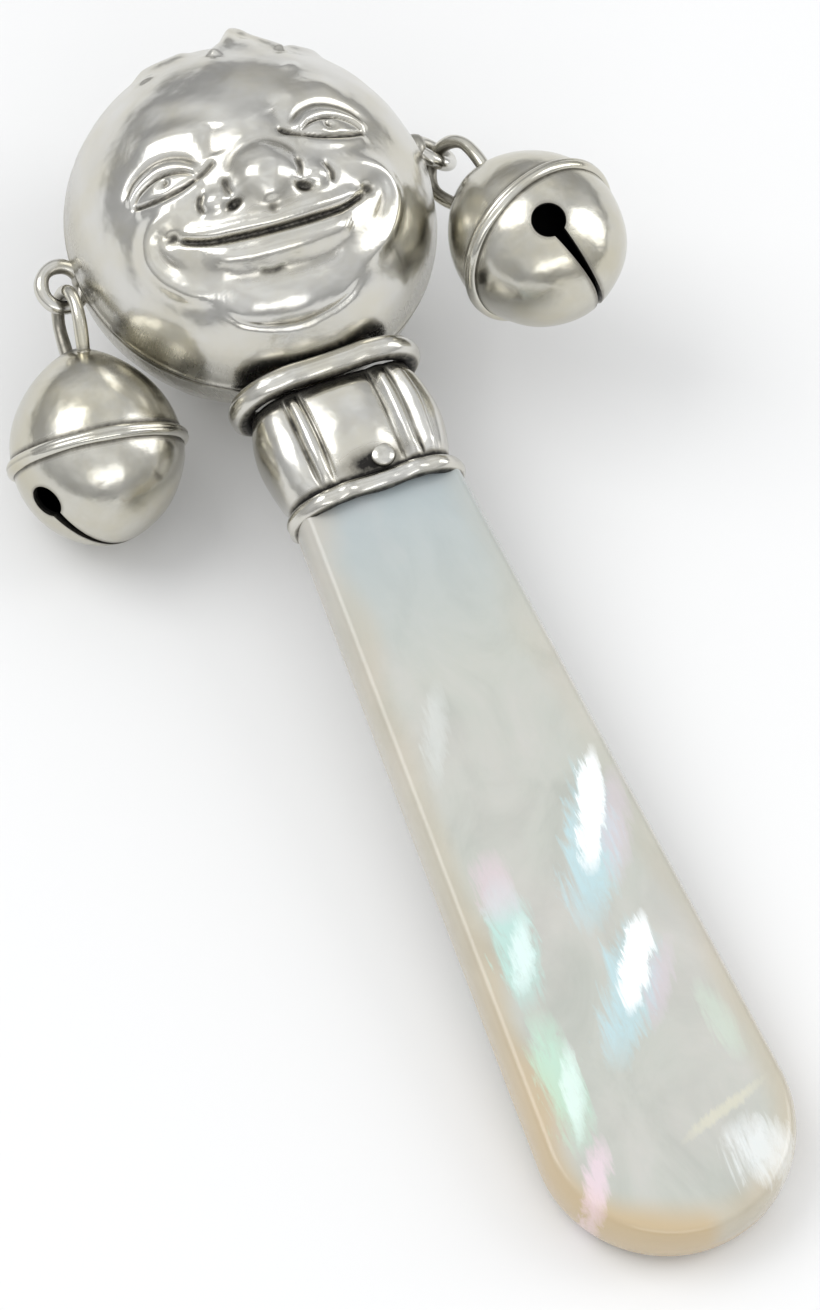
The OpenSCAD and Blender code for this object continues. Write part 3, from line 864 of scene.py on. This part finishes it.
def u_loop(middle, foot, thick=20):
    """A wire arch in the x-z plane: a half circle on two legs that run down to the crown, in mm."""
    arc = np.linspace(0, math.pi, 49)
    line = [(LOOP_R * math.cos(a), middle + LOOP_R * math.sin(a)) for a in arc]
    steps = np.linspace(0, 1, 14)[1:]

    def leg(sign):
        return [(sign * (LOOP_R - 0.75 * t**1.7), middle + (foot - middle) * t) for t in steps]

    line = np.array(leg(1)[::-1] + line + leg(-1))
    tangent = np.gradient(line, axis=0)
    tangent /= np.linalg.norm(tangent, axis=1, keepdims=True)
    outward = np.stack([tangent[:, 1], -tangent[:, 0]], -1)
    turn = np.arange(thick) / thick * 2 * math.pi
    wire = LOOP_WIRE * (1 + 0.05 * np.sin(np.arange(len(line)) * 0.31))
    across = wire[:, None] * np.cos(turn)
    points = np.stack([line[:, 0, None] + outward[:, 0, None] * across, wire[:, None] * np.sin(turn),
                       line[:, 1, None] + outward[:, 1, None] * across], -1)
    faces = grid_faces(len(line), thick, wrap_columns=True) + end_caps(len(line), thick)
    # painted shade on the inner side of the arch and at its feet, where they meet the crown
    inner_side = 0.5 * smoothstep(0.2, -0.7, np.cos(turn))[None, :] + 0 * across
    feet = 0.6 * smoothstep(foot + 1.2, foot + 0.3, line[:, 1])[:, None] + 0 * across
    return points, faces, np.maximum(inner_side, feet)


def prism(outline, low, high):
    """A solid that stands on a closed outline, from height low to high."""
    count = len(outline)
    points = np.vstack([np.column_stack([outline, np.full(count, h)]) for h in (low, high)])
    return points, grid_faces(2, count, wrap_columns=True) + end_caps(2, count)


def bell_cutters(turn):
    """The keyhole slot as solids to cut away: two round holes and a slot that narrows at the pole."""
    solids = []
    circle = np.arange(40) / 40 * 2 * math.pi
    hole = KEYHOLE_R * np.stack([np.cos(circle), np.sin(circle)], -1)
    for sign in (1, -1):
        points, faces = prism(hole, -BELL_DEPTH - 2, -KEYHOLE_FLOOR)
        spin = Matrix.Rotation(turn, 3, "Z") @ Matrix.Rotation(-sign * KEYHOLE_ANGLE, 3, "Y")
        solids.append((points @ np.array(spin).T, faces))
    reach = BELL_R * math.sin(KEYHOLE_ANGLE) - 0.3
    x = np.linspace(-reach, reach, 41)
    half = SLOT_HALF + SLOT_FLARE * np.abs(x / reach)**1.8
    outline = np.concatenate([np.stack([x, half], -1), np.stack([x[::-1], -half[::-1]], -1)])
    c, s = math.cos(turn), math.sin(turn)
    outline = outline @ np.array([[c, s], [-s, c]])
    solids.append(prism(outline, -BELL_DEPTH - 2, -BELL_R * math.cos(KEYHOLE_ANGLE)))
    return solids


def slot_distance(co, turn):
    """How far each point of the bowl lies from the keyhole slot's edge, in mm; 9 is far away."""
    along = co[:, 0] * math.cos(turn) + co[:, 1] * math.sin(turn)
    across = -co[:, 0] * math.sin(turn) + co[:, 1] * math.cos(turn)
    gap = np.where(np.abs(along) < BELL_R * 0.85, np.abs(across) - 0.35, 9.0)
    for sign in (1, -1):
        sideways = sign * math.sin(KEYHOLE_ANGLE)
        axis = np.array([math.cos(turn) * sideways, math.sin(turn) * sideways, -math.cos(KEYHOLE_ANGLE)])
        on_axis = co @ axis
        off_axis = np.linalg.norm(co - on_axis[:, None] * axis, axis=1)
        gap = np.minimum(gap, np.where(on_axis > 0, off_axis - KEYHOLE_R, 9.0))
    return gap


def dome_profile(height, power, rows, start=0.0):
    """The CAD bell's half profile from pole to rim, outside then back along the inside."""
    a = np.linspace(math.pi / 2 - start, 0, rows)
    outer = np.stack([BELL_R * np.cos(a)**power, height * np.sin(a)], -1)
    inner = np.stack([(BELL_R - BELL_T) * np.cos(a)**power, (height - BELL_T) * np.sin(a)], -1)
    return np.vstack([outer, inner[::-1]])


def lower_shell(side, place, material):
    """The bell's lower half: a thin bowl with a keyhole slot cut through it."""
    rows, around = 80, 220
    profile = dome_profile(BELL_DEPTH, BASE_POWER, rows, 0.03) * [1, -1]
    points = np.vstack([revolve(profile, around).reshape(-1, 3),
                        [[0, 0, -BELL_DEPTH], [0, 0, -BELL_DEPTH + BELL_T]]])
    faces = grid_faces(2 * rows, around, wrap_columns=True)
    pole, inside = 2 * rows * around, 2 * rows * around + 1
    faces += [[i, (i + 1) % around, pole] for i in range(around)]
    last = (2 * rows - 1) * around
    faces += [[last + i, last + (i + 1) % around, inside] for i in range(around)]
    bowl = face_outwards(make_mesh(side + "_bell_bowl", points, faces, Matrix.Identity(4)))
    cutters = [face_outwards(make_mesh("cutter", *solid, Matrix.Identity(4)))
               for solid in bell_cutters(SLOT_TURN[side])]
    for cutter in cutters:
        modifier = bowl.modifiers.new("cut", "BOOLEAN")
        modifier.operation, modifier.object, modifier.solver = "DIFFERENCE", cutter, "EXACT"
    cut = bpy.data.meshes.new_from_object(bowl.evaluated_get(bpy.context.evaluated_depsgraph_get()))
    bowl.modifiers.clear()
    bowl.data = cut
    for cutter in cutters:
        bpy.data.objects.remove(cutter)
    co = np.array([v.co for v in cut.vertices], float)
    gap = slot_distance(co, SLOT_TURN[side])
    size = np.linalg.norm(co, axis=1)
    depth = np.abs(co[:, 2]) / BELL_DEPTH
    shell = (np.hypot(co[:, 0], co[:, 1]) / BELL_R)**(2 / BASE_POWER) + depth**2
    # painted shade: dark inside the bowl, along the slot's edges and just under the rib
    shade = np.maximum(smoothstep(0.97, 0.90, shell), 0.45 * np.exp(-np.maximum(gap, 0) / 0.22))
    shade = np.maximum(shade, 0.65 * smoothstep(-1.0, -0.55, co[:, 2]))
    shade = np.maximum(shade, 0.12)
    dent = 0.06 * wobble(co, 6.0, 41 if side == "left" else 42) * smoothstep(-0.3, -2.0, co[:, 2])
    placed = (co * (1 + dent / size)[:, None]) @ np.array(place)[:3, :3].T + np.array(place)[:3, 3]
    cut.vertices.foreach_set("co", placed.astype(np.float32).ravel())
    put_attribute(cut, "tarnish_and_shade", shade)
    cut.shade_smooth()
    cut.set_sharp_from_angle(angle=math.radians(38))
    cut.update()
    finish_piece(bowl, side + "_bell", side + "_bell_lower_shell", material)


def upper_shell(side, place, material):
    """The bell's upper half: a thin pear-topped cap, with painted shade inside it, where it meets the rib
    and around the loop.
    """
    rows, around = 80, 200
    points = revolve(dome_profile(BELL_CROWN, CROWN_POWER, rows, 0.001), around)
    dent = 0.008 * wobble(points, 7.0, 51 if side == "left" else 52)
    points = points * (1 + dent * smoothstep(0, 2, points[..., 2]))[..., None]
    inside = np.arange(2 * rows)[:, None] >= rows
    near_rib = 0.7 * smoothstep(1.15, 0.5, points[..., 2])
    off_axis = np.hypot(points[..., 0], points[..., 1])
    near_loop = 0.6 * smoothstep(2.6, 1.0, off_axis) * (points[..., 2] > 4)
    shade = np.where(inside, 1.0, np.maximum(np.maximum(near_rib, near_loop), 0.10))
    faces = grid_faces(2 * rows, around, wrap_columns=True)
    silver_piece(side + "_bell_cap", side + "_bell", side + "_bell_upper_shell", points, faces,
                 place, shade, material)


def bell_rib(side, place, material):
    """The rolled seam between the bell's halves: a round bead with a fine groove along its middle."""
    around, thick = 260, 40
    a = np.arange(around) / around * 2 * math.pi
    b = np.arange(thick) / thick * 2 * math.pi
    wire = RIB_WIRE * (1 + 0.03 * np.sin(4 * a + 1) + 0.02 * np.sin(9 * a))[:, None] * np.ones((1, thick))
    groove = np.exp(-(np.minimum(b, 2 * math.pi - b) / 0.22)**2)
    wire = wire - 0.07 * groove[None, :]
    out = BELL_R - 0.04 + wire * np.cos(b)
    points = np.stack([out * np.cos(a)[:, None], out * np.sin(a)[:, None], wire * np.sin(b) * 1.1], -1)
    # painted shade along the fine groove and on the inner side of the bead, towards the bell
    shade = np.tile(np.maximum(0.30 * groove, smoothstep(0.25, -0.15, np.cos(b))), (around, 1))
    faces = grid_faces(around, thick, True, True)
    silver_piece(side + "_bell_seam", side + "_bell", side + "_bell_rib", points, faces, place,
                 shade, material)


def bell_loop(side, place, reach, material):
    """The wire loop on top of a bell, with its two feet in solder on the crown."""
    loop, faces, shade = u_loop(reach - LOOP_R - APEX_DROP, BELL_CROWN * 0.86)
    parts = [(loop, faces, shade)]
    for sign in (1, -1):
        points, faces = solder_blob((sign * 1.5, 0, BELL_CROWN * 0.90), (0.75, 0.70, 0.42), 9 + sign)
        parts.append((points, faces, SOLDER_SHADE))
    points, faces, shade = joined(parts)
    silver_piece(side + "_bell_wire", side + "_bell", side + "_bell_loop", points, faces, place,
                 shade, material)


# ---------------------------------------------------------------- build it

bright_silver = silver_material("bright_silver", (0.66, 0.65, 0.615))
bell_silver = silver_material("bell_silver", (0.63, 0.615, 0.555), warmth=0.15, roughness=0.15)
pearl = pearl_material("mother_of_pearl")
steel = plain_material("pellet_steel", (0.32, 0.31, 0.30), 0.5, 1.0, 1.2)
cement = plain_material("cement", (0.35, 0.27, 0.19), 0.9, 0.0, 2.0)

cells = FACE_CELLS
half_head("face_dome", "head_front_shell", FACE_DEPTH, -1, front_relief, cells, bright_silver)
half_head("back_dome", "head_back_shell", BACK_DEPTH, 1, no_relief, cells // 2, bright_silver)
bead_ring("neck_ring", "neck_bead", NECK_Z, NECK_D, NECK_WIRE, NECK_WAVE, bright_silver)
collar("fluted_collar", "collar_body", bright_silver)
bead_ring("mouth_ring", "mouth_bead", MOUTH_Z, MOUTH_D, MOUTH_WIRE, MOUTH_WAVE, bright_silver)
rivet("domed_rivet", "handle_rivet", bright_silver)
handle("pearl_handle", "handle", pearl)
for side in ("left", "right"):
    head_ring(side, bright_silver)
    place, reach = bell_frame(side)
    upper_shell(side, place, bell_silver)
    lower_shell(side, place, bell_silver)
    bell_rib(side, place, bell_silver)
    bell_loop(side, place, reach, bell_silver)
    put_material(frame["nodes"][side + "_bell_pellet"], steel)
put_material(frame["nodes"]["socket_filler"], cement)


# ---------------------------------------------------------------- floor, light and camera

def floor():
    """A pale sheet of paper just under the rattle."""
    bpy.ops.mesh.primitive_plane_add(size=6, location=(0, 0, -0.0001))
    plane = bpy.context.object
    plane.name = "floor"
    n = Nodes(bpy.data.materials.new("pale_paper"))
    n.set(Base_Color=(0.845, 0.845, 0.845, 1), Roughness=0.9)
    plane.data.materials.append(n.owner)


def soft_light(name, location, width, height, power):
    """A rectangular lamp that points at the middle of the rattle; metres and watts."""
    light = bpy.data.lights.new(name, "AREA")
    light.shape = "RECTANGLE"
    light.size, light.size_y, light.energy = width, height, power
    lamp = bpy.data.objects.new(name, light)
    lamp.location = location
    lamp.rotation_mode = "QUATERNION"
    lamp.rotation_quaternion = (-Vector(location)).to_track_quat("-Z", "Y")
    bpy.context.scene.collection.objects.link(lamp)


def world(strength):
    """A pale room: darker towards the horizon, with soft uneven patches for the silver to reflect."""
    n = Nodes(bpy.data.worlds.new("studio"), "Background")
    n.set(Strength=strength)
    direction = n.add("ShaderNodeTexCoord").outputs["Generated"]
    split = n.add("ShaderNodeSeparateXYZ")
    n.link(direction, split.inputs["Vector"])
    sky = n.ramp(split.outputs["Z"], [(place, (grey, grey * 1.01, grey * 1.02))
                                      for place, grey in ((0.0, 0.42), (0.70, 1.0))])
    contrast = n.add("ShaderNodeMapRange", **{"From Min": 0.38, "From Max": 0.62, "To Min": 0.74,
                                              "To Max": 1.10})
    n.link(n.noise(direction, 2.3, 3.0, 0.5), contrast.inputs["Value"])
    n.link(n.mix(1.0, sky, contrast.outputs["Result"], "MULTIPLY"), n.shader.inputs["Color"])
    bpy.context.scene.world = n.owner


def camera():
    """The photograph's view: lens and place were fitted in the standing frame."""
    data = bpy.data.cameras.new("camera")
    data.lens, data.sensor_width = 221.57, 36
    data.clip_start, data.clip_end = 0.01, 20
    eye = bpy.data.objects.new("camera", data)
    right = Vector((0.91798, -0.09080, -0.38609))
    up = Vector((0.31418, -0.42767, 0.84758))
    back = right.cross(up)
    turn = Matrix((right, up, back)).transposed().to_4x4()
    placed = LIE @ Matrix.Translation((-144.914, -528.797, -250.994)) @ turn
    turned = placed.to_quaternion().to_matrix().to_4x4()
    eye.matrix_world = Matrix.Translation(placed.translation) @ turned
    bpy.context.scene.collection.objects.link(eye)
    bpy.context.scene.camera = eye


bpy.context.scene.view_settings.view_transform = "Standard"
floor()
world(0.93)
soft_light("key", (-0.35, 0.25, 0.55), 0.45, 0.45, 1.6)
soft_light("side", (0.50, -0.10, 0.30), 0.25, 0.5, 0.8)
soft_light("front", (-0.10, -0.55, 0.30), 0.5, 0.18, 0.5)
camera()
